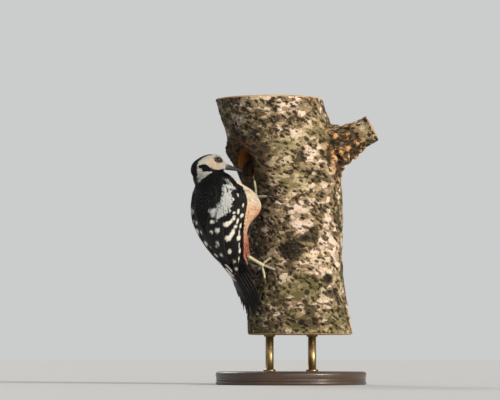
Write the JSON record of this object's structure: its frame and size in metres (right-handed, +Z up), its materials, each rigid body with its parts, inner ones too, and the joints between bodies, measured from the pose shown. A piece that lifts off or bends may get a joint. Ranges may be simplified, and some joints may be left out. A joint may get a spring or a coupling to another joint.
{
  "type": "great spotted woodpecker model",
  "caption": "Life-size great spotted woodpecker clinging head-up to a cut length of trunk beside its nest hole, held on a flat round base.",
  "frame": {"origin": "centre of the stand base's flat underside, at floor level", "axes": "+Z up along the perch; +X to the right and +Y away from a viewer who faces the bird's right side, its back turned three quarters to them"},
  "size_m": [0.228, 0.2105, 0.35],
  "materials": {
    "base": "dark stained, satin",
    "rod": "aged, brushed",
    "bark": "rough pinkish-grey bark with dark plates",
    "plumage_black": "glossy black feathers, barred and spotted white",
    "plumage_cream": "soft cream feathers",
    "plumage_buff": "soft buff to salmon-red feathers",
    "bill": "dark grey horn, satin",
    "eye": "dark, wet gloss",
    "leg": "olive-grey scaled skin",
    "claw": "grey horn"
  },
  "bodies": {
    "root": {"stand_base": "base", "stand_rod_left": "rod", "stand_rod_right": "rod", "perch_trunk": "bark", "perch_branch": "bark", "neck": "plumage_black", "head": "plumage_cream", "eye_right": "eye", "eye_left": "eye", "bill_upper": "bill", "bill_lower": "bill", "body": "plumage_buff", "tail": "plumage_black", "wing_right": "plumage_black", "wing_left": "plumage_black", "thigh_right": "plumage_cream", "thigh_left": "plumage_cream", "tarsus_right": "leg", "tarsus_left": "leg", "toe_right_first": "leg", "toe_right_second": "leg", "toe_right_third": "leg", "toe_right_fourth": "leg", "toe_left_first": "leg", "toe_left_second": "leg", "toe_left_third": "leg", "toe_left_fourth": "leg", "claw_right_first": "claw", "claw_right_second": "claw", "claw_right_third": "claw", "claw_right_fourth": "claw", "claw_left_first": "claw", "claw_left_second": "claw", "claw_left_third": "claw", "claw_left_fourth": "claw"}
  },
  "joints": []
}
